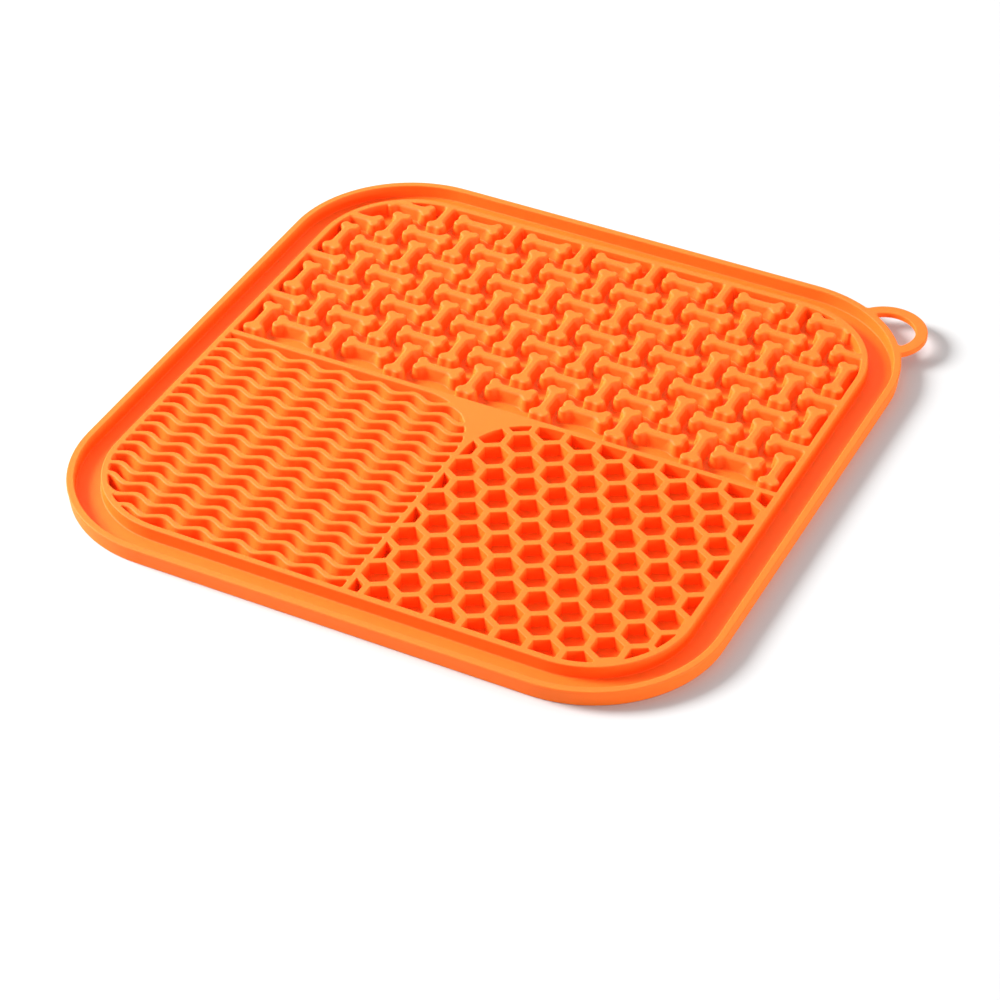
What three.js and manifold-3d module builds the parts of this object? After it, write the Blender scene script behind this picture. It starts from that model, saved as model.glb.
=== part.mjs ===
// A square lick mat moulded in one piece of silicone rubber, with a hanging loop at one corner.
// Millimetres, +Z up. The origin is the middle of the flat underside.
// +Y points to the half with the bones, and the loop is at the +X +Y corner.
import * as THREE from "three";
import { mergeVertices } from "three/addons/utils/BufferGeometryUtils.js";
import Module from "manifold-3d";

// The plate and its edge, from the outer wall inwards.
const MAT_SIDE = 200;
const MAT_HEIGHT = 5.2;
const BASE_THICKNESS = 1.2;
const CORNER_RADIUS = 39.4;
const CORNER_STEPS = 8;
const WALL_DRAFT = 0.5;
const RIM_WIDTH = 2.2;
const GUTTER_WIDTH = 7.6;
const RIDGE_WIDTH = 2.0;

// The ribs that part the three fields: one across the whole mat, one from it to the front.
const CROSS_RIB_Y = 0.5;
const CROSS_RIB_WIDTH = 1.9;
const FRONT_RIB_X = -0.3;
const FRONT_RIB_WIDTH = 1.9;
const RIB_FILLET = 20;
const RIB_FILLET_STEPS = 4;

// Bones, on a grid where they lie along X and along Y by turns.
const BONE_PITCH_X = 12.0;
const BONE_PITCH_Y = 12.1;
const BONE_MIDDLE_X = 0.15;
const BONE_LAST_ROW_Y = 84.1;
const BONE_ROWS = 7;
const BONE_COLUMNS_EACH_SIDE = 7;
const BONE_LENGTH = 15.4;
const BONE_WIDTH = 6.4;
const BONE_SHAFT = 3.0;
const KNOB_RADIUS = 1.7;
const KNOB_STEPS = 3;

// Wavy ribs, all in step, that run along X.
const WAVE_ROWS = 17;
const WAVE_PITCH = 5.05;
const WAVE_FIRST_Y = -4.0;
const WAVE_LENGTH = 11.95;
const WAVE_CREST_X = -71.9;
const WAVE_FLAT_LEVEL = 0.95;
const WAVE_TIP_LEVEL = 1.2;
const WAVE_HALF_HEIGHT = 0.95;
const WAVE_FLAT_PHASE = Math.PI / 6;

// Honeycomb cells, with two of their sides parallel to Y.
const CELL_PITCH = 9.836;
const CELL_WALL = 1.95;
const CELL_FIRST_X = -5.186;
const CELL_FIRST_Y = -1.79;
const CELL_ROWS = 11;
const CELL_COLUMNS = 10;
const SMALLEST_CELL_SHARE = 0.05;

// The hanging loop, level with the top of the rim.
const LOOP_CENTRE = 87.7;
const LOOP_OUTER_RADIUS = 12.3;
const LOOP_INNER_RADIUS = 8.7;
const LOOP_THICKNESS = 1.8;
const LOOP_STEPS = 64;
const LOOP_GAP = 0.3;

// How far a cut runs past the faces that it opens.
const CUT_MARGIN = 1;

// Points of a mesh this near each other are one point.
const WELD_DISTANCE = 1e-5;

const RUBBER = { color: 0xfe8a2e, roughness: 0.45, metalness: 0.0 };

// Sizes worked out from those above.
const HALF_SIDE = MAT_SIDE / 2;
const GUTTER_INSET = RIM_WIDTH;
const RIDGE_INSET = GUTTER_INSET + GUTTER_WIDTH;
const FIELD_INSET = RIDGE_INSET + RIDGE_WIDTH;
const FIELD_HALF = HALF_SIDE - FIELD_INSET;
const FIELD_CORNER_RADIUS = CORNER_RADIUS - FIELD_INSET;
const CORNER_CENTRE = HALF_SIDE - CORNER_RADIUS;
const CUT_TOP = MAT_HEIGHT + CUT_MARGIN;
const TOOL_BOTTOM = BASE_THICKNESS - CUT_MARGIN;
const TOOL_TOP = CUT_TOP + CUT_MARGIN;
const CROSS_RIB_FAR = CROSS_RIB_Y + CROSS_RIB_WIDTH / 2;
const CROSS_RIB_NEAR = CROSS_RIB_Y - CROSS_RIB_WIDTH / 2;
const FRONT_RIB_LEFT = FRONT_RIB_X - FRONT_RIB_WIDTH / 2;
const FRONT_RIB_RIGHT = FRONT_RIB_X + FRONT_RIB_WIDTH / 2;
const CELL_ROW_PITCH = (CELL_PITCH * Math.sqrt(3)) / 2;
const CELL_CORNER_RADIUS = (CELL_PITCH - CELL_WALL) / Math.sqrt(3);

const wasm = await Module();
wasm.setup();

// A closed three.js geometry as a solid for joins and cuts.
function solidFrom(geometry) {
  geometry.deleteAttribute("normal");
  geometry.deleteAttribute("uv");
  const merged = mergeVertices(geometry, WELD_DISTANCE);
  return new wasm.Manifold(
    new wasm.Mesh({
      numProp: 3,
      vertProperties: merged.attributes.position.array,
      triVerts: new Uint32Array(merged.index.array),
    }),
  );
}

// A solid as a named mesh with its own material.
function meshFrom(solid, name, look) {
  const made = solid.getMesh();
  const geometry = new THREE.BufferGeometry();
  geometry.setAttribute("position", new THREE.BufferAttribute(made.vertProperties, 3));
  geometry.setIndex(new THREE.BufferAttribute(made.triVerts, 1));
  geometry.computeVertexNormals();
  const mesh = new THREE.Mesh(geometry, new THREE.MeshStandardMaterial(look));
  mesh.name = name;
  return mesh;
}

// An upright prism on an outline given by its corner points.
function prism(points, low, high) {
  const geometry = new THREE.ExtrudeGeometry(new THREE.Shape(points), {
    depth: high - low,
    bevelEnabled: false,
  });
  geometry.translate(0, 0, low);
  return solidFrom(geometry);
}

// Points round a part of a circle, both ends included.
function arc(x, y, radius, from, to, steps) {
  const points = [];
  for (let step = 0; step <= steps; step += 1) {
    const angle = from + ((to - from) * step) / steps;
    points.push(new THREE.Vector2(x + radius * Math.cos(angle), y + radius * Math.sin(angle)));
  }
  return points;
}

// The mat's rounded square, drawn in by an inset, or drawn out where the inset is negative.
function roundedSquare(inset) {
  const points = [];
  for (let corner = 0; corner < 4; corner += 1) {
    const from = (corner * Math.PI) / 2;
    const x = CORNER_CENTRE * Math.sign(Math.cos(from + Math.PI / 4));
    const y = CORNER_CENTRE * Math.sign(Math.sin(from + Math.PI / 4));
    points.push(...arc(x, y, CORNER_RADIUS - inset, from, from + Math.PI / 2, CORNER_STEPS));
  }
  return points;
}

// The plain plate, whose outer wall leans in towards the underside.
function plate() {
  const geometry = new THREE.ExtrudeGeometry(new THREE.Shape(roundedSquare(0)), {
    depth: MAT_HEIGHT,
    bevelEnabled: false,
  });
  const places = geometry.attributes.position;
  const shrink = (HALF_SIDE - WALL_DRAFT) / HALF_SIDE;
  for (let index = 0; index < places.count; index += 1) {
    if (places.getZ(index) === 0) {
      places.setXY(index, places.getX(index) * shrink, places.getY(index) * shrink);
    }
  }
  return solidFrom(geometry);
}

// The channel all round, between the rim and the ridge.
function gutter() {
  const outer = prism(roundedSquare(GUTTER_INSET), BASE_THICKNESS, CUT_TOP);
  const inner = prism(roundedSquare(RIDGE_INSET), TOOL_BOTTOM, TOOL_TOP);
  return outer.subtract(inner);
}

// The space inside the ridge, cut down to a box.
function fieldPart(points) {
  const field = prism(roundedSquare(FIELD_INSET), BASE_THICKNESS, CUT_TOP);
  return field.intersect(prism(points, TOOL_BOTTOM, TOOL_TOP));
}

// The space for the bones, behind the cross rib.
function farHalf() {
  return fieldPart([
    new THREE.Vector2(-HALF_SIDE, CROSS_RIB_FAR),
    new THREE.Vector2(HALF_SIDE, CROSS_RIB_FAR),
    new THREE.Vector2(HALF_SIDE, HALF_SIDE),
    new THREE.Vector2(-HALF_SIDE, HALF_SIDE),
  ]);
}

// A near quarter, to the left (side -1) or right (side 1), rounded where the two ribs meet.
function nearQuarter(side) {
  const edge = side < 0 ? FRONT_RIB_LEFT : FRONT_RIB_RIGHT;
  const corner = arc(
    edge + side * RIB_FILLET,
    CROSS_RIB_NEAR - RIB_FILLET,
    RIB_FILLET,
    Math.PI / 2,
    side < 0 ? 0 : Math.PI,
    RIB_FILLET_STEPS,
  );
  const points = [
    new THREE.Vector2(side * HALF_SIDE, CROSS_RIB_NEAR),
    ...corner,
    new THREE.Vector2(edge, -HALF_SIDE),
    new THREE.Vector2(side * HALF_SIDE, -HALF_SIDE),
  ];
  return fieldPart(points);
}

// One bone's outline: four knobs, joined by the shaft's two straight edges.
function boneOutline(alongY) {
  const knobX = BONE_LENGTH / 2 - KNOB_RADIUS;
  const knobY = BONE_WIDTH / 2 - KNOB_RADIUS;
  const shaftAngle = Math.PI - Math.asin((BONE_SHAFT / 2 - knobY) / KNOB_RADIUS);
  const notchAngle = -Math.asin(knobY / KNOB_RADIUS);
  const knob = arc(knobX, knobY, KNOB_RADIUS, notchAngle, shaftAngle, KNOB_STEPS);
  const mirror = (list, sx, sy) => list.map((p) => new THREE.Vector2(p.x * sx, p.y * sy));
  const outline = [
    ...knob,
    ...mirror(knob, -1, 1).reverse().slice(0, -1),
    ...mirror(knob, -1, -1),
    ...mirror(knob, 1, -1).reverse().slice(0, -1),
  ];
  return alongY ? outline.map((p) => new THREE.Vector2(-p.y, p.x)) : outline;
}

// Whether a point lies inside the ridge's inner edge.
function insideField(x, y) {
  const overX = Math.max(Math.abs(x) - CORNER_CENTRE, 0);
  const overY = Math.max(Math.abs(y) - CORNER_CENTRE, 0);
  const straight = Math.max(Math.abs(x), Math.abs(y)) < FIELD_HALF;
  return straight && Math.hypot(overX, overY) < FIELD_CORNER_RADIUS;
}

// Every bone whose middle is inside the field; those at the edge run on into the ridge.
function bones() {
  const made = [];
  for (let row = 0; row < BONE_ROWS; row += 1) {
    for (let column = -BONE_COLUMNS_EACH_SIDE; column <= BONE_COLUMNS_EACH_SIDE; column += 1) {
      const x = BONE_MIDDLE_X + column * BONE_PITCH_X;
      const y = BONE_LAST_ROW_Y - row * BONE_PITCH_Y;
      const alongY = (row + column) % 2 !== 0;
      if (insideField(x, y)) {
        const outline = boneOutline(alongY).map((p) => p.clone().add(new THREE.Vector2(x, y)));
        made.push(prism(outline, TOOL_BOTTOM, TOOL_TOP));
      }
    }
  }
  return made.reduce((all, bone) => all.add(bone));
}

// One edge of a wavy rib: two corners on the outside of each bend and one on the inside.
// The outside of a bend is at the crests (side 1) or at the troughs (side -1).
function waveEdge(y, side) {
  const bends = Math.ceil((2 * HALF_SIDE) / WAVE_LENGTH);
  const points = [];
  for (let bend = -bends; bend <= bends; bend += 1) {
    const upward = bend % 2 === 0 ? 1 : -1;
    const outside = upward === side;
    const level = upward * (outside ? WAVE_FLAT_LEVEL : WAVE_TIP_LEVEL);
    for (const phase of outside ? [-WAVE_FLAT_PHASE, WAVE_FLAT_PHASE] : [0]) {
      const x = WAVE_CREST_X + (bend / 2 + phase / (2 * Math.PI)) * WAVE_LENGTH;
      if (x > -HALF_SIDE && x < WAVE_LENGTH) {
        points.push(new THREE.Vector2(x, y + level + side * WAVE_HALF_HEIGHT));
      }
    }
  }
  return points;
}

// One wavy rib along the middle line y, long enough to run past both sides of its field.
function waveRib(y) {
  const outline = [...waveEdge(y, -1), ...waveEdge(y, 1).reverse()];
  return prism(outline, TOOL_BOTTOM, TOOL_TOP);
}

function waves() {
  const ribs = [];
  for (let row = 0; row < WAVE_ROWS; row += 1) {
    ribs.push(waveRib(WAVE_FIRST_Y - row * WAVE_PITCH));
  }
  return ribs.reduce((all, rib) => all.add(rib));
}

// A hexagon with a corner straight above its middle.
function hexagon(x, y, radius) {
  const round = arc(x, y, radius, Math.PI / 2, Math.PI * 2.5, 6);
  return round.slice(1);
}

// The hollow cells of the honeycomb, cut to the field, without the slivers too small to mould.
function cells() {
  const field = nearQuarter(1);
  const made = [];
  for (let row = 0; row < CELL_ROWS; row += 1) {
    const shift = row % 2 === 0 ? CELL_PITCH / 2 : 0;
    for (let column = 0; column < CELL_COLUMNS; column += 1) {
      const x = CELL_FIRST_X + column * CELL_PITCH + shift;
      const y = CELL_FIRST_Y - row * CELL_ROW_PITCH;
      const outline = hexagon(x, y, CELL_CORNER_RADIUS);
      const whole = prism(outline, BASE_THICKNESS, CUT_TOP);
      const cell = whole.intersect(field);
      if (cell.volume() > SMALLEST_CELL_SHARE * whole.volume()) {
        made.push(cell);
      }
    }
  }
  return made.reduce((all, cell) => all.add(cell));
}

// The mat is the plate less its gutter and less the hollows round each pattern.
function mat() {
  return plate()
    .subtract(gutter())
    .subtract(farHalf().subtract(bones()))
    .subtract(nearQuarter(-1).subtract(waves()))
    .subtract(cells());
}

// The loop, an open ring whose two ends stand a little clear of the mat's wall.
function hangingLoop() {
  const low = MAT_HEIGHT - LOOP_THICKNESS;
  const circle = (radius) => arc(LOOP_CENTRE, LOOP_CENTRE, radius, 0, 2 * Math.PI, LOOP_STEPS);
  const ring = (radius) => circle(radius).slice(1);
  const outer = prism(ring(LOOP_OUTER_RADIUS), low, MAT_HEIGHT);
  const inner = prism(ring(LOOP_INNER_RADIUS), 0, CUT_TOP);
  return outer.subtract(inner).subtract(prism(roundedSquare(-LOOP_GAP), 0, CUT_TOP));
}

const lickMat = new THREE.Group();
lickMat.add(meshFrom(mat(), "mat", RUBBER));
lickMat.add(meshFrom(hangingLoop(), "hanging_loop", RUBBER));

export default lickMat;
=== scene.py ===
import math
from collections import namedtuple

import bpy
import numpy as np
from mathutils import Euler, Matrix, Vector
from mathutils.geometry import delaunay_2d_cdt


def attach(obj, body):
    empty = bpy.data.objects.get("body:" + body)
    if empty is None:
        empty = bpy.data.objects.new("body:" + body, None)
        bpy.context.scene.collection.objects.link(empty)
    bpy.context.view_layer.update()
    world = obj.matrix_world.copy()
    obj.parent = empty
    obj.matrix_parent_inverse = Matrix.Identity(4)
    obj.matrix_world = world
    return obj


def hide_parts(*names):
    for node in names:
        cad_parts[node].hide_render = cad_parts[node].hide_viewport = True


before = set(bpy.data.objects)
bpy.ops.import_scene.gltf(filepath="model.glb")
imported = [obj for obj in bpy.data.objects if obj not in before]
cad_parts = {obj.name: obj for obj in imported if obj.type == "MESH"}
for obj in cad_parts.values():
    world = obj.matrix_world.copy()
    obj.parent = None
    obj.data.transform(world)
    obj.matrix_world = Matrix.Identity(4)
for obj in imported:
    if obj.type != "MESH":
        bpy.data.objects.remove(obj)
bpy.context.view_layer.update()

# The plate and its edge, as in the part's source.
MAT_SIDE = 200.0
MAT_HEIGHT = 5.2
BASE_THICKNESS = 1.2
CORNER_RADIUS = 39.4
CORNER_STEPS = 28
WALL_DRAFT = 0.5
RIM_WIDTH = 2.2
GUTTER_WIDTH = 7.6
RIDGE_WIDTH = 2.0

# The ribs that part the three fields.
CROSS_RIB_Y = 0.5
CROSS_RIB_WIDTH = 1.9
FRONT_RIB_X = -0.3
FRONT_RIB_WIDTH = 1.9
RIB_FILLET = 20.0
RIB_FILLET_STEPS = 12

# Bones on their grid.
BONE_PITCH_X = 12.0
BONE_PITCH_Y = 12.1
BONE_MIDDLE_X = 0.15
BONE_LAST_ROW_Y = 84.1
BONE_ROWS = 7
BONE_COLUMNS_EACH_SIDE = 7
BONE_LENGTH = 15.4
BONE_WIDTH = 6.4
BONE_SHAFT = 3.0
KNOB_RADIUS = 1.7
NOTCH_RADIUS = 2.4
NECK_RADIUS = 2.2
KNOB_STEPS = 8
NOTCH_STEPS = 2
NECK_STEPS = 3

# Wavy ribs along X.
WAVE_ROWS = 17
WAVE_PITCH = 5.05
WAVE_FIRST_Y = -4.0
WAVE_LENGTH = 11.95
WAVE_CREST_X = -71.9
WAVE_SWING = 1.05
WAVE_HALF_HEIGHT = 0.95
WAVE_STEPS = 12

# Honeycomb cells.
CELL_PITCH = 9.836
CELL_WALL = 1.95
CELL_FIRST_X = -5.186
CELL_FIRST_Y = -1.79
CELL_ROWS = 11
CELL_COLUMNS = 10
CELL_SIDES = 6
SMALLEST_CELL_SHARE = 0.05

# The hanging loop, level with the top of the rim.
LOOP_CENTRE = 87.7
LOOP_OUTER_RADIUS = 12.3
LOOP_INNER_RADIUS = 8.7
LOOP_THICKNESS = 1.8
LOOP_STEPS = 48
LOOP_ROOT_RADIUS = 1.0
LOOP_ROOT_STEPS = 5
LOOP_HOLE_CORNER = 0.8
LOOP_TAPER_STEPS = 3
LOOP_END_STEPS = 3

# The roundings of the moulding. A hollow's edge has a rounded top, a leaning wall and a rounded foot.
# Soft is how many times the corners of its foot are averaged.
Edge = namedtuple("Edge", "top lean foot top_steps foot_steps soft")
GUTTER_EDGE = Edge(0.35, math.radians(3), 0.4, 3, 2, 0)
RIDGE_EDGE = Edge(0.35, math.radians(3), 0.4, 4, 2, 0)
BONE_EDGE = Edge(1.05, math.radians(15), 0.4, 4, 2, 4)
WAVE_EDGE = Edge(0.5, math.radians(10), 0.45, 3, 2, 0)
CELL_EDGE = Edge(0.2, math.radians(2), 0.25, 2, 1, 0)
RIM_ROUND = 0.35
RIM_STEPS = 3
UNDERSIDE_ROUND = 0.3
LOOP_UNDER_ROUND = 0.3
FOOT_STEPS = 2
PLAN_CORNER_REACH = 0.6
CELL_CORNER_REACH = 0.25
PLAN_CORNER_TURN = math.radians(32)
PLAN_CORNER_STEPS = 4
PLAN_CORNER_SHARE = 0.45
TOP_ROOM_SHARE = 0.9
FLOOR_ROOM_SHARE = 0.8
ROOM_SEARCH = 3.0
ROOM_STEP = 0.4
FIT_STEPS = 12
SMOOTH_STEPS = 3
LONGEST_STEP = 0.7
SAME_PLACE = 0.06
PLAN_TOLERANCE = 1e-5

# Sizes worked out from those above.
HALF_SIDE = MAT_SIDE / 2
CORNER_CENTRE = HALF_SIDE - CORNER_RADIUS
RIDGE_INSET = RIM_WIDTH + GUTTER_WIDTH
FIELD_INSET = RIDGE_INSET + RIDGE_WIDTH
FIELD_HALF = HALF_SIDE - FIELD_INSET
FIELD_CORNER_RADIUS = CORNER_RADIUS - FIELD_INSET
CROSS_RIB_FAR = CROSS_RIB_Y + CROSS_RIB_WIDTH / 2
CROSS_RIB_NEAR = CROSS_RIB_Y - CROSS_RIB_WIDTH / 2
FRONT_RIB_LEFT = FRONT_RIB_X - FRONT_RIB_WIDTH / 2
FRONT_RIB_RIGHT = FRONT_RIB_X + FRONT_RIB_WIDTH / 2
CELL_ROW_PITCH = CELL_PITCH * math.sqrt(3) / 2
CELL_CORNER_RADIUS = (CELL_PITCH - CELL_WALL) / math.sqrt(3)
LOOP_UNDERSIDE = MAT_HEIGHT - LOOP_THICKNESS
MM = 0.001

# The camera, solved from the photograph: 36 mm sensor, the whole square frame.
CAMERA_PLACE = (0.32191, -0.62496, 0.54175)
CAMERA_TURN = (50.95856, 0.37734, 26.8064)
CAMERA_LENS = 109.748
CAMERA_CLIP = (0.01, 20)


def make_camera():
    data = bpy.data.cameras.new("camera")
    data.lens = CAMERA_LENS
    data.clip_start, data.clip_end = CAMERA_CLIP
    camera = bpy.data.objects.new("camera", data)
    camera.location = CAMERA_PLACE
    camera.rotation_euler = Euler([math.radians(turn) for turn in CAMERA_TURN], "XYZ")
    bpy.context.scene.collection.objects.link(camera)
    bpy.context.scene.camera = camera


make_camera()


# Plan outlines.
def arc(x, y, radius, start, end, steps):
    angles = np.linspace(start, end, steps + 1)
    return [(x + radius * math.cos(a), y + radius * math.sin(a)) for a in angles]


def rounded_square(inset):
    """The mat's outline, drawn in by the inset."""
    points = []
    for corner in range(4):
        start = corner * math.pi / 2
        x = math.copysign(CORNER_CENTRE, math.cos(start + math.pi / 4))
        y = math.copysign(CORNER_CENTRE, math.sin(start + math.pi / 4))
        points += arc(x, y, CORNER_RADIUS - inset, start, start + math.pi / 2, CORNER_STEPS)
    return points


def bone_outline():
    """A whole bone along X: knobs and notches at its ends, and necks where the knobs meet the shaft."""
    knob_x = BONE_LENGTH / 2 - KNOB_RADIUS
    knob_y = BONE_WIDTH / 2 - KNOB_RADIUS
    notch_x = knob_x + math.sqrt((KNOB_RADIUS + NOTCH_RADIUS) ** 2 - knob_y**2)
    neck_y = BONE_SHAFT / 2 + NECK_RADIUS
    neck_x = knob_x - math.sqrt((KNOB_RADIUS + NECK_RADIUS) ** 2 - (neck_y - knob_y) ** 2)
    to_notch = math.atan2(-knob_y, notch_x - knob_x)
    to_neck = math.atan2(neck_y - knob_y, neck_x - knob_x)
    quarter = arc(notch_x, 0, NOTCH_RADIUS, math.pi, to_notch + math.pi, NOTCH_STEPS)
    quarter += arc(knob_x, knob_y, KNOB_RADIUS, to_notch, to_neck, KNOB_STEPS)[1:]
    quarter += arc(neck_x, neck_y, NECK_RADIUS, to_neck - math.pi, -math.pi / 2, NECK_STEPS)[1:]
    left = [(-x, y) for x, y in reversed(quarter)]
    upper = quarter + left[:-1]
    lower = [(-x, -y) for x, y in quarter] + [(x, -y) for x, y in reversed(quarter)][:-1]
    return upper + lower


def field_depth(x, y):
    """How far a point is inside the ridge's inner edge."""
    over_x = abs(x) - CORNER_CENTRE
    over_y = abs(y) - CORNER_CENTRE
    if over_x > 0 and over_y > 0:
        return FIELD_CORNER_RADIUS - math.hypot(over_x, over_y)
    return FIELD_HALF - max(abs(x), abs(y))


def bones():
    """Bones on a grid, along and across by turns."""
    plain = bone_outline()
    turned = [(-y, x) for x, y in plain]
    outlines = []
    for row in range(BONE_ROWS):
        for column in range(-BONE_COLUMNS_EACH_SIDE, BONE_COLUMNS_EACH_SIDE + 1):
            x = BONE_MIDDLE_X + column * BONE_PITCH_X
            y = BONE_LAST_ROW_Y - row * BONE_PITCH_Y
            if field_depth(x, y) > 0:
                outline = turned if (row + column) % 2 else plain
                outlines.append([(x + px, y + py) for px, py in outline])
    return outlines


def wave_ribs():
    """Outlines of the wavy ribs, each longer than the field is wide."""
    steps = math.ceil((HALF_SIDE + WAVE_LENGTH) / WAVE_LENGTH) * WAVE_STEPS
    xs = -HALF_SIDE + np.arange(steps) * WAVE_LENGTH / WAVE_STEPS
    swing = WAVE_SWING * np.cos((xs - WAVE_CREST_X) * 2 * math.pi / WAVE_LENGTH)
    outlines = []
    for row in range(WAVE_ROWS):
        middle = WAVE_FIRST_Y - row * WAVE_PITCH + swing
        near = [(x, y - WAVE_HALF_HEIGHT) for x, y in zip(xs, middle)]
        far = [(x, y + WAVE_HALF_HEIGHT) for x, y in zip(xs, middle)]
        outlines.append(near + far[::-1])
    return outlines


def cells():
    """Hexagons in rows, every other row shifted by half a cell."""
    outlines = []
    for row in range(CELL_ROWS):
        shift = CELL_PITCH / 2 if row % 2 == 0 else 0
        for column in range(CELL_COLUMNS):
            x = CELL_FIRST_X + column * CELL_PITCH + shift
            y = CELL_FIRST_Y - row * CELL_ROW_PITCH
            start = math.pi / 2
            end = start + 2 * math.pi
            outlines.append(arc(x, y, CELL_CORNER_RADIUS, start, end, CELL_SIDES)[1:])
    return outlines


def near_box(side):
    """The near left (side -1) or near right (side 1) quarter, rounded where the two ribs meet."""
    edge = FRONT_RIB_LEFT if side < 0 else FRONT_RIB_RIGHT
    start = math.pi / 2
    end = 0 if side < 0 else math.pi
    corner_y = CROSS_RIB_NEAR - RIB_FILLET
    corner = arc(edge + side * RIB_FILLET, corner_y, RIB_FILLET, start, end, RIB_FILLET_STEPS)
    outside = side * HALF_SIDE
    points = [(outside, CROSS_RIB_NEAR), *corner, (edge, -HALF_SIDE), (outside, -HALF_SIDE)]
    return points[::-1] if side < 0 else points


def far_box():
    return [
        (-HALF_SIDE, CROSS_RIB_FAR),
        (HALF_SIDE, CROSS_RIB_FAR),
        (HALF_SIDE, HALF_SIDE),
        (-HALF_SIDE, HALF_SIDE),
    ]


# Plan work: which part of the plane is hollow, and the loops round it.
def edges_round(triangles):
    """The outside edges of some triangles, as a table from each corner to the next one."""
    sides = {(t[k], t[(k + 1) % 3]) for t in triangles for k in range(3)}
    return {a: b for a, b in sides if (b, a) not in sides}


def loops_round(places, triangles):
    """Closed loops of points round some triangles, which lie on the left of each loop."""
    after = edges_round(triangles)
    loops = []
    while after:
        first, here = next(iter(after.items()))
        loop = [first]
        del after[first]
        while here != first:
            loop.append(here)
            here = after.pop(here)
        loops.append(np.array([places[index] for index in loop], float))
    return loops


def hollow_loops(outlines, hollow):
    """Loops round the part of the plane that hollow picks by the outlines that a point lies in."""
    points = []
    faces = []
    for outline in outlines:
        faces.append(list(range(len(points), len(points) + len(outline))))
        points += [Vector(point) for point in outline]
    places, _, triangles, _, _, owners = delaunay_2d_cdt(points, [], faces, 0, PLAN_TOLERANCE, True)
    picked = [t for t, inside in zip(triangles, owners) if hollow(set(inside))]
    return loops_round(places, picked)


def without_twins(loop):
    """The loop without points that lie almost on the one before."""
    step = np.linalg.norm(loop - np.roll(loop, 1, 0), axis=1)
    return loop[step > SAME_PLACE]


def divided(loop, spacing):
    """The loop with points added so that none are further apart than the spacing."""
    made = []
    for start, end in zip(loop, np.roll(loop, -1, 0)):
        count = max(1, math.ceil(np.linalg.norm(end - start) / spacing))
        made += [start + (end - start) * step / count for step in range(count)]
    return np.array(made)


def eased(loop, reach):
    """The loop with each sharp corner drawn as a small curve that starts within reach of it."""
    loop = without_twins(loop)
    ahead = np.roll(loop, -1, 0) - loop
    length = np.linalg.norm(ahead, axis=1)
    heading = np.arctan2(ahead[:, 1], ahead[:, 0])
    turn = (heading - np.roll(heading, 1) + math.pi) % (2 * math.pi) - math.pi
    corners = np.flatnonzero(np.abs(turn) > PLAN_CORNER_TURN)
    if not len(corners):
        return loop
    loop = np.roll(loop, -corners[0], 0)
    length = np.roll(length, -corners[0])
    corners = corners - corners[0]
    along = np.concatenate([[0], np.cumsum(length)])
    total = along[-1]
    stops = np.append(along[corners], total)
    closed = np.vstack([loop, loop[:1]])

    def at(distance):
        distance = distance % total
        return np.array([np.interp(distance, along, closed[:, k]) for k in range(2)])

    made = []
    for number, corner in enumerate(corners):
        before = stops[number] - stops[number - 1] if number else total - stops[-2]
        after = stops[number + 1] - stops[number]
        half = min(reach, PLAN_CORNER_SHARE * before, PLAN_CORNER_SHARE * after)
        start = at(along[corner] - half)
        end = at(along[corner] + half)
        for step in range(PLAN_CORNER_STEPS + 1):
            t = step / PLAN_CORNER_STEPS
            made.append((1 - t) ** 2 * start + 2 * t * (1 - t) * loop[corner] + t**2 * end)
        next_start = stops[number + 1] - min(reach, PLAN_CORNER_SHARE * after)
        inside = (along[:-1] > along[corner] + half) & (along[:-1] < next_start)
        made += list(loop[inside])
    return without_twins(np.array(made))


def outline_normals(loop):
    """Unit vectors to the left of a loop, at its points."""
    chord = np.roll(loop, -1, 0) - np.roll(loop, 1, 0)
    chord /= np.linalg.norm(chord, axis=1)[:, None]
    return np.stack([-chord[:, 1], chord[:, 0]], 1)


def room(loop, normals, around):
    """The largest circle on the normals' side that touches the loop at each point and holds no other."""
    low = loop.min(0) - ROOM_SEARCH
    high = loop.max(0) + ROOM_SEARCH
    near = around[np.all((around > low) & (around < high), axis=1)]
    gap = near[None] - loop[:, None]
    ahead = np.einsum("ijk,ik->ij", gap, normals)
    square = (gap**2).sum(2)
    size = np.where(ahead > PLAN_TOLERANCE, square / np.maximum(2 * ahead, PLAN_TOLERANCE), np.inf)
    return size.min(1)


# The mesh under construction: places, their normals and faces.
places = []
leans = []
faces = []


def add_ring(points, height, normals, tilt):
    """One row of vertices. Tilt is how far the normals lean up from level, as an angle."""
    start = len(places)
    height = np.broadcast_to(height, len(points))
    tilt = np.broadcast_to(tilt, len(points))
    for (x, y), z, (nx, ny), lean in zip(points, height, normals, tilt):
        places.append((x, y, z))
        leans.append((nx * math.cos(lean), ny * math.cos(lean), math.sin(lean)))
    return list(range(start, len(places)))


def add_face(corners):
    """A face from its corners, where the same corner may come twice in a row."""
    kept = [c for k, c in enumerate(corners) if c != corners[k - 1]]
    if len(kept) > 2:
        faces.append(kept)


def bridge(upper, lower, closed=True):
    """Faces between two rows, which face to the left of the rows' direction."""
    count = len(upper) if closed else len(upper) - 1
    for k in range(count):
        j = (k + 1) % len(upper)
        add_face([upper[k], upper[j], lower[j], lower[k]])


def moved(loop, normals, offset):
    return loop + normals * np.reshape(offset, (-1, 1))


def top_rows(loop, normals, rounding, lean, steps):
    """The rounded top of an edge, from level down to a wall that leans back by the angle lean."""
    rows = []
    for step in range(steps + 1):
        angle = math.pi / 2 - (math.pi / 2 - lean) * step / steps
        offset = rounding * (np.cos(angle) - 1)
        height = MAT_HEIGHT - rounding * (1 - np.sin(angle))
        rows.append(add_ring(moved(loop, normals, offset), height, normals, angle))
    return rows


def bridge_all(rows, closed=True):
    for upper, lower in zip(rows, rows[1:]):
        bridge(upper, lower, closed)


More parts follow.
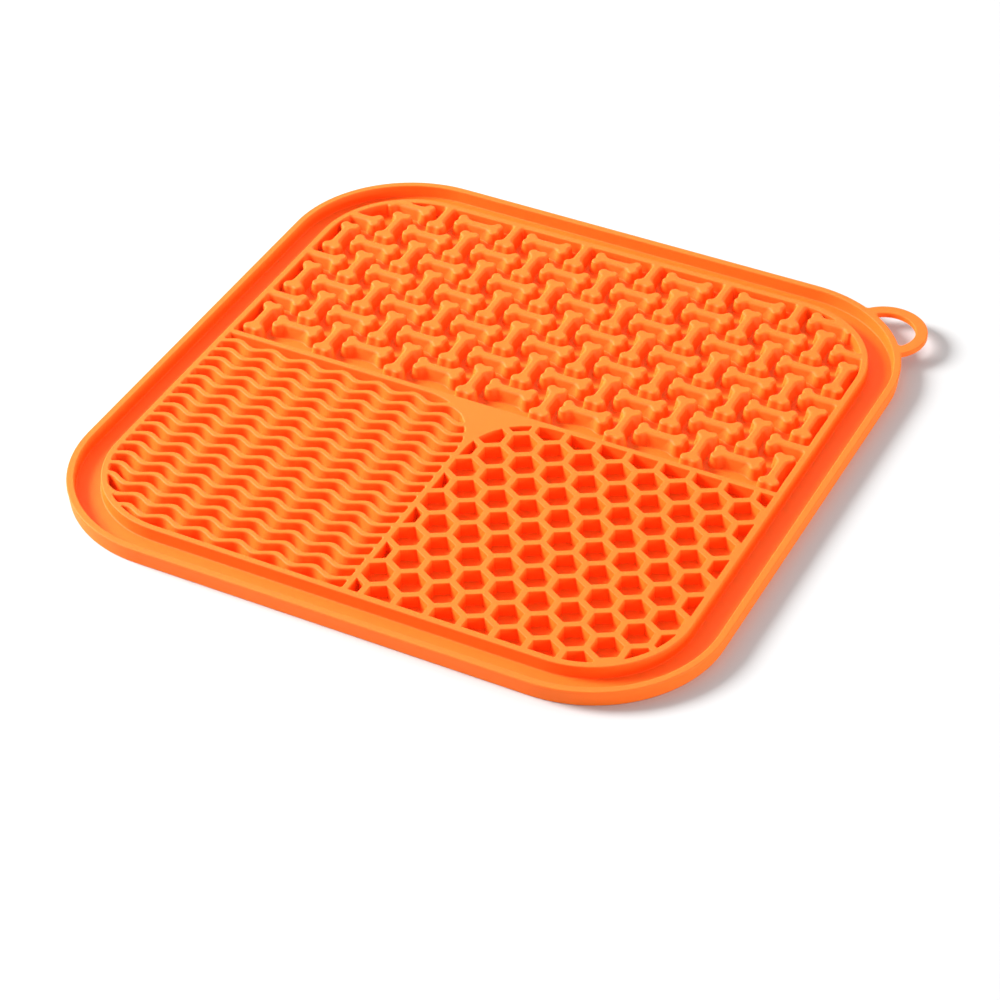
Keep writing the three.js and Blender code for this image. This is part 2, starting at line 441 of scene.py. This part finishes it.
def floor_offset(top, lean, foot):
    """How far the floor starts from an outline, past the rounded top, the wall and the foot."""
    wall = MAT_HEIGHT - BASE_THICKNESS - (top + foot) * (1 - np.sin(lean))
    return wall * np.tan(lean) - top * (1 - np.cos(lean)) + foot * np.cos(lean)


def fitting_share(top, lean, foot, free):
    """The share of the lean and of the foot's rounding that fits the free room at each point."""
    low = np.zeros(len(free))
    high = np.ones(len(free))
    for _ in range(FIT_STEPS):
        share = (low + high) / 2
        fits = floor_offset(top, lean * share, foot * share) < free
        low = np.where(fits, share, low)
        high = np.where(fits, high, share)
    return low


def calmed(values):
    """Values along a loop, lowered so that they change gently."""
    for _ in range(SMOOTH_STEPS):
        values = np.minimum(values, (np.roll(values, 1) + values + np.roll(values, -1)) / 3)
    return values


def softened(row, rounds):
    """A row of the wall's foot with its notches and corners filled."""
    for _ in range(rounds):
        row = (np.roll(row, 1, 0) + 2 * row + np.roll(row, -1, 0)) / 4
    return row


def lean_as_built(rows):
    """The normals of a wall's rows, but the flat first and last ones, from the wall's own shape."""
    grid = np.array([[places[index] for index in row] for row in rows])
    along = np.roll(grid, -1, 1) - np.roll(grid, 1, 1)
    normals = np.cross(along[1:-1], grid[2:] - grid[:-2])
    normals /= np.linalg.norm(normals, axis=2)[:, :, None]
    for row, row_normals in zip(rows[1:-1], normals):
        for index, normal in zip(row, row_normals):
            leans[index] = tuple(normal)


def sink(loop, around, edge, plain_edge, share):
    """The wall of a hollow, between two kinds of edge by share. Gives its top and its floor row."""
    normals = outline_normals(loop)
    top, lean, foot = (a + (b - a) * share for a, b in zip(plain_edge[:3], edge[:3]))
    top = calmed(np.minimum(top, TOP_ROOM_SHARE * room(loop, -normals, around)))
    free = FLOOR_ROOM_SHARE * room(loop, normals, around)
    fit = calmed(fitting_share(top, lean, foot, free))
    lean = lean * fit
    foot = foot * fit
    middle = floor_offset(top, lean, foot)
    rows = top_rows(loop, normals, top, lean, edge.top_steps)
    for step in range(edge.foot_steps + 1):
        angle = lean + (math.pi / 2 - lean) * step / edge.foot_steps
        offset = middle - foot * np.cos(angle)
        height = BASE_THICKNESS + foot * (1 - np.sin(angle))
        row = softened(moved(loop, normals, offset), edge.soft)
        rows.append(add_ring(row, height, normals, angle))
    bridge_all(rows)
    lean_as_built(rows)
    return rows[0], rows[-1]


def fill(rings, upward=True):
    """A flat face between closed rings of vertices, on the left of each of them."""
    order = [index for ring in rings for index in ring]
    points = [Vector(places[index][:2]) for index in order]
    edges = []
    start = 0
    for ring in rings:
        edges += [(start + k, start + (k + 1) % len(ring)) for k in range(len(ring))]
        start += len(ring)
    made = delaunay_2d_cdt(points, edges, [], 0, 0.0, True)
    triangles, sources = made[2], made[3]
    if any(len(source) != 1 for source in sources):
        raise ValueError("two rings of a flat face touch")
    own = [tuple(sources[corner][0] for corner in triangle) for triangle in triangles]
    beside = {}
    for number, triangle in enumerate(own):
        for k in range(3):
            beside[(triangle[k], triangle[(k + 1) % 3])] = number
    walls = set(edges)
    waiting = [beside[edge] for edge in edges if edge in beside]
    chosen = set(waiting)
    while waiting:
        triangle = own[waiting.pop()]
        for k in range(3):
            a, b = triangle[k], triangle[(k + 1) % 3]
            across = beside.get((b, a))
            if (a, b) in walls or (b, a) in walls or across is None or across in chosen:
                continue
            chosen.add(across)
            waiting.append(across)
    for number in chosen:
        corners = [order[index] for index in own[number]]
        add_face(corners if upward else corners[::-1])


def bone_share(loop):
    """Along a loop of the bones' field: 0 at the ridge and the ribs, 1 at the bones."""
    depth = np.array([min(field_depth(x, y), y - CROSS_RIB_FAR) for x, y in loop])
    share = np.where(depth < SAME_PLACE, 0.0, 1.0)
    for _ in range(SMOOTH_STEPS):
        share = (np.roll(share, 1) + share + np.roll(share, -1)) / 3
    return share


def loop_area(loop):
    following = np.roll(loop, -1, 0)
    return np.sum(loop[:, 0] * following[:, 1] - loop[:, 1] * following[:, 0]) / 2


def make_hollows():
    """All hollows inside the rim. Gives their top rings and their floor rings."""
    field = rounded_square(FIELD_INSET)
    gutter = [np.array(rounded_square(RIM_WIDTH)), np.array(rounded_square(RIDGE_INSET))[::-1]]
    far = hollow_loops([field, far_box(), *bones()], lambda inside: inside == {0, 1})
    left = hollow_loops([field, near_box(-1), *wave_ribs()], lambda inside: inside == {0, 1})
    right = hollow_loops([field, near_box(1), *cells()], lambda inside: len(inside) == 3)
    smallest = SMALLEST_CELL_SHARE * loop_area(np.array(cells()[0]))
    right = [loop for loop in right if loop_area(loop) > smallest]
    far = [eased(loop, PLAN_CORNER_REACH) for loop in far]
    far = [divided(loop, LONGEST_STEP) if loop_area(loop) > 0 else loop for loop in far]
    left = [eased(loop, PLAN_CORNER_REACH) for loop in left]
    right = [eased(loop, CELL_CORNER_REACH) for loop in right]
    pairs = []
    for loops, edge in (
        (gutter, GUTTER_EDGE),
        (far, BONE_EDGE),
        (left, WAVE_EDGE),
        (right, CELL_EDGE),
    ):
        around = np.vstack([divided(loop, ROOM_STEP) for loop in loops])
        for loop in loops:
            share = bone_share(loop) if edge is BONE_EDGE else np.ones(len(loop))
            pairs.append(sink(loop, around, edge, RIDGE_EDGE, share))
    return [top for top, _ in pairs], [floor for _, floor in pairs]


# The outer wall, the underside and the hanging loop, which share their edges.
def circle_meet(first, first_radius, second, second_radius, side):
    """Where two circles meet, on the left (side 1) or the right (side -1) of the line between them."""
    between = np.subtract(second, first)
    distance = np.linalg.norm(between)
    along = (distance**2 + first_radius**2 - second_radius**2) / (2 * distance)
    across = math.sqrt(first_radius**2 - along**2)
    unit = between / distance
    return np.array(first) + unit * along + np.array([-unit[1], unit[0]]) * across * side


def angle_of(centre, point):
    return math.atan2(point[1] - centre[1], point[0] - centre[0])


def mirrored(points):
    """The points' mirror image across the corner's diagonal, in the opposite order."""
    return [(y, x) for x, y in reversed(points)]


def loop_outlines():
    """The loop's outside and the hole in it, each from the mat's wall round to the wall again."""
    corner = (CORNER_CENTRE, CORNER_CENTRE)
    centre = (LOOP_CENTRE, LOOP_CENTRE)
    diagonal = math.pi / 4
    root = circle_meet(
        corner, CORNER_RADIUS + LOOP_ROOT_RADIUS, centre, LOOP_OUTER_RADIUS + LOOP_ROOT_RADIUS, 1
    )
    start = angle_of(root, corner)
    end = angle_of(root, centre)
    left_root = arc(*root, LOOP_ROOT_RADIUS, start, end, LOOP_ROOT_STEPS)
    reach = angle_of(centre, root) - diagonal
    round_outside = arc(
        *centre, LOOP_OUTER_RADIUS, diagonal + reach, diagonal - reach, LOOP_STEPS
    )
    outside = left_root + round_outside[1:-1] + mirrored(left_root)
    eye = circle_meet(
        corner, CORNER_RADIUS + LOOP_HOLE_CORNER, centre, LOOP_INNER_RADIUS - LOOP_HOLE_CORNER, 1
    )
    start = angle_of(centre, eye)
    end = angle_of(eye, corner) + 2 * math.pi
    left_eye = arc(*eye, LOOP_HOLE_CORNER, start, end, LOOP_ROOT_STEPS)
    reach = start - diagonal
    round_inside = arc(*centre, LOOP_INNER_RADIUS, diagonal - reach, diagonal + reach, LOOP_STEPS)
    hole = mirrored(left_eye) + round_inside[1:-1] + left_eye
    return outside, hole


def mat_arc(start, end, steps):
    """Points on the mat's corner arc strictly between two of its points."""
    corner = (CORNER_CENTRE, CORNER_CENTRE)
    return arc(*corner, CORNER_RADIUS, angle_of(corner, start), angle_of(corner, end), steps)[1:-1]


def add_under_rows(points, normals, ends):
    """The loop's rounded lower edge, whose two ends run into the mat's wall."""
    from_end = np.minimum(np.arange(len(points)), np.arange(len(points))[::-1])
    rounding = LOOP_UNDER_ROUND * np.minimum(1, from_end / LOOP_TAPER_STEPS)
    rows = []
    for step in range(FOOT_STEPS + 1):
        angle = -math.pi / 2 * step / FOOT_STEPS
        lower = moved(points, normals, rounding * (math.cos(angle) - 1))
        height = LOOP_UNDERSIDE + rounding * (1 + math.sin(angle))
        inner = add_ring(lower[1:-1], height[1:-1], normals[1:-1], angle)
        rows.append([ends[0], *inner, ends[1]])
    return rows


def make_edge():
    """The outer wall, the underside and the loop. Gives the top face's two outer rings."""
    outside, hole = loop_outlines()
    square = rounded_square(0)
    others = square[CORNER_STEPS + 1 :]
    steps = CORNER_STEPS // 2
    corner_left = arc(CORNER_CENTRE, CORNER_CENTRE, CORNER_RADIUS, math.pi / 2, 0, 2)
    far_side = mat_arc(outside[0], corner_left[0], steps) + [corner_left[0]]
    near_side = [corner_left[-1]] + mat_arc(corner_left[-1], outside[-1], steps)
    free = (far_side + others + near_side)[::-1]
    in_hole = mat_arc(hole[-1], hole[0], steps)
    under_left = mat_arc(outside[0], hole[-1], LOOP_END_STEPS)
    under_right = mat_arc(hole[0], outside[-1], LOOP_END_STEPS)
    whole = [outside[-1], *free, outside[0], *under_left, hole[-1], *in_hole, hole[0], *under_right]
    wall = np.array(whole)
    wall_normals = outline_normals(wall)
    lean = math.atan(WALL_DRAFT / MAT_HEIGHT)

    def leaned(height):
        return wall - wall_normals * WALL_DRAFT * (1 - height / MAT_HEIGHT)

    level = add_ring(leaned(LOOP_UNDERSIDE), LOOP_UNDERSIDE, wall_normals, -lean)
    rows = [level]
    foot = leaned(UNDERSIDE_ROUND)
    for step in range(FOOT_STEPS + 1):
        angle = -math.pi / 2 * step / FOOT_STEPS
        offset = UNDERSIDE_ROUND * (math.cos(angle) - 1)
        height = UNDERSIDE_ROUND * (1 + math.sin(angle))
        rows.append(add_ring(foot + wall_normals * offset, height, wall_normals, angle))
    bridge_all(rows)
    add_face(rows[-1])

    free_level = level[: len(free) + 2]
    at_left = len(free) + 1
    at_eye_left = at_left + len(under_left) + 1
    at_eye_right = at_eye_left + len(in_hole) + 1
    tops = []
    under = []
    for ring_part, mat_part, mat_level, ends in (
        (outside, free, free_level, (at_left, 0)),
        (hole, in_hole, level[at_eye_left : at_eye_right + 1], (at_eye_right, at_eye_left)),
    ):
        loop = np.array(ring_part + mat_part)
        normals = outline_normals(loop)
        rows = top_rows(loop, normals, RIM_ROUND, 0, RIM_STEPS)
        bridge_all(rows)
        last = len(ring_part)
        bridge(rows[-1][last - 1 :] + rows[-1][:1], mat_level, closed=False)
        end_vertices = [level[index] for index in ends]
        lower = add_under_rows(loop[:last], normals[:last], end_vertices)
        bridge_all([rows[-1][:last], *lower], closed=False)
        tops.append(rows[0])
        under.append(lower[-1])
    back_right = level[at_eye_right + 1 :][::-1]
    back_left = level[at_left + 1 : at_eye_left][::-1]
    fill([(under[0] + back_right + under[1] + back_left)[::-1]], upward=False)
    return tops


def make_mat():
    """The whole moulding as one mesh."""
    outer_tops = make_edge()
    tops, floors = make_hollows()
    fill([ring[::-1] for ring in outer_tops + tops])
    fill(floors)
    data = bpy.data.meshes.new("lick_mat")
    data.from_pydata([(x * MM, y * MM, z * MM) for x, y, z in places], [], faces)
    data.shade_smooth()
    data.normals_split_custom_set_from_vertices(leans)
    mat = bpy.data.objects.new("lick_mat", data)
    bpy.context.scene.collection.objects.link(mat)
    return mat


# Silicone rubber, dyed through.
SILICONE = (1.0, 0.17, 0.009)
SILICONE_DEEP = (1.0, 0.155, 0.007)
SILICONE_ROUGHNESS = (0.6, 0.68)
SILICONE_IOR = 1.41
SILICONE_SPECULAR = 0.42
SUBSURFACE = 0.3
SUBSURFACE_REACH = (1.0, 0.4, 0.15)
SUBSURFACE_SCALE = 0.0015
GRAIN_PER_METRE = 2600
GRAIN_STRENGTH = 0.06
GRAIN_DEPTH = 0.00003
GRAIN_DETAIL = 2.0
CLOUDS_PER_METRE = 22
CLOUDS_DETAIL = 3.0
MIX_COLOUR_A = 6
MIX_COLOUR_B = 7
MIX_COLOUR_RESULT = 2


def add_node(tree, kind, **inputs):
    """A node with the given numbers on its inputs."""
    node = tree.nodes.new(kind)
    for name, value in inputs.items():
        node.inputs[name.replace("_", " ")].default_value = value
    return node


def make_silicone():
    """Satin rubber with a fine grain and slow changes of tone and roughness."""
    material = bpy.data.materials.new("silicone")
    material.use_nodes = True
    tree = material.node_tree
    shader = tree.nodes["Principled BSDF"]
    shader.inputs["Subsurface Weight"].default_value = SUBSURFACE
    shader.inputs["Subsurface Radius"].default_value = SUBSURFACE_REACH
    shader.inputs["Subsurface Scale"].default_value = SUBSURFACE_SCALE
    shader.inputs["IOR"].default_value = SILICONE_IOR
    shader.inputs["Specular IOR Level"].default_value = SILICONE_SPECULAR
    place = tree.nodes.new("ShaderNodeTexCoord")
    clouds = add_node(tree, "ShaderNodeTexNoise", Scale=CLOUDS_PER_METRE, Detail=CLOUDS_DETAIL)
    grain = add_node(tree, "ShaderNodeTexNoise", Scale=GRAIN_PER_METRE, Detail=GRAIN_DETAIL)
    tint = tree.nodes.new("ShaderNodeMix")
    tint.data_type = "RGBA"
    tint.inputs[MIX_COLOUR_A].default_value = (*SILICONE, 1)
    tint.inputs[MIX_COLOUR_B].default_value = (*SILICONE_DEEP, 1)
    rough = tree.nodes.new("ShaderNodeMapRange")
    rough.inputs["To Min"].default_value = SILICONE_ROUGHNESS[0]
    rough.inputs["To Max"].default_value = SILICONE_ROUGHNESS[1]
    bump = add_node(tree, "ShaderNodeBump", Strength=GRAIN_STRENGTH, Distance=GRAIN_DEPTH)
    links = tree.links
    links.new(place.outputs["Object"], clouds.inputs["Vector"])
    links.new(place.outputs["Object"], grain.inputs["Vector"])
    links.new(clouds.outputs["Fac"], tint.inputs[0])
    links.new(tint.outputs[MIX_COLOUR_RESULT], shader.inputs["Base Color"])
    links.new(clouds.outputs["Fac"], rough.inputs["Value"])
    links.new(rough.outputs["Result"], shader.inputs["Roughness"])
    links.new(grain.outputs["Fac"], bump.inputs["Height"])
    links.new(bump.outputs["Normal"], shader.inputs["Normal"])
    return material


# The floor and the light, in metres and watts.
FLOOR_SIDE = 8.0
FLOOR_COLOUR = (0.6, 0.6, 0.6)
FLOOR_ROUGHNESS = 0.9
KEY_PLACE = (-1.23, -0.25, 0.78)
KEY_SIZE = 0.6
KEY_POWER = 48
FILL_PLACE = (1.5, -0.1, 0.22)
FILL_SIZE = 0.5
FILL_POWER = 14
SKY_WHITE = (1, 1, 1, 1)
SKY_BRIGHT_SIDE = (-0.45, 0.89, -0.6)
SKY_STRENGTH = (0.36, 1.46)


def make_floor():
    half = FLOOR_SIDE / 2
    corners = [(-half, -half, 0), (half, -half, 0), (half, half, 0), (-half, half, 0)]
    data = bpy.data.meshes.new("floor")
    data.from_pydata(corners, [], [(0, 1, 2, 3)])
    material = bpy.data.materials.new("floor")
    material.use_nodes = True
    shader = material.node_tree.nodes["Principled BSDF"]
    shader.inputs["Base Color"].default_value = (*FLOOR_COLOUR, 1)
    shader.inputs["Roughness"].default_value = FLOOR_ROUGHNESS
    data.materials.append(material)
    floor = bpy.data.objects.new("floor", data)
    bpy.context.scene.collection.objects.link(floor)


def add_light(name, place, size, power):
    """A round lamp that faces the middle of the floor."""
    data = bpy.data.lights.new(name, "AREA")
    data.shape = "DISK"
    data.size = size
    data.energy = power
    light = bpy.data.objects.new(name, data)
    light.location = place
    light.rotation_euler = Vector(place).to_track_quat("Z", "Y").to_euler()
    bpy.context.scene.collection.objects.link(light)


def make_lights():
    """A soft key from the left, a low fill from the right and a sky that is brightest far left."""
    add_light("key", KEY_PLACE, KEY_SIZE, KEY_POWER)
    add_light("fill", FILL_PLACE, FILL_SIZE, FILL_POWER)
    world = bpy.data.worlds.new("studio")
    world.use_nodes = True
    tree = world.node_tree
    tree.nodes["Background"].inputs["Color"].default_value = SKY_WHITE
    sky = tree.nodes.new("ShaderNodeTexCoord")
    facing = tree.nodes.new("ShaderNodeVectorMath")
    facing.operation = "DOT_PRODUCT"
    facing.inputs[1].default_value = SKY_BRIGHT_SIDE
    glow = tree.nodes.new("ShaderNodeMapRange")
    glow.inputs["From Min"].default_value = -1.0
    glow.inputs["From Max"].default_value = 1.0
    glow.inputs["To Min"].default_value = SKY_STRENGTH[0]
    glow.inputs["To Max"].default_value = SKY_STRENGTH[1]
    tree.links.new(sky.outputs["Generated"], facing.inputs[0])
    tree.links.new(facing.outputs["Value"], glow.inputs["Value"])
    tree.links.new(glow.outputs["Result"], tree.nodes["Background"].inputs["Strength"])
    scene = bpy.context.scene
    scene.world = world
    scene.view_settings.view_transform = "Standard"


mat = make_mat()
mat.data.materials.append(make_silicone())
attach(mat, "root")
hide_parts("mat", "hanging_loop")
make_floor()
make_lights()
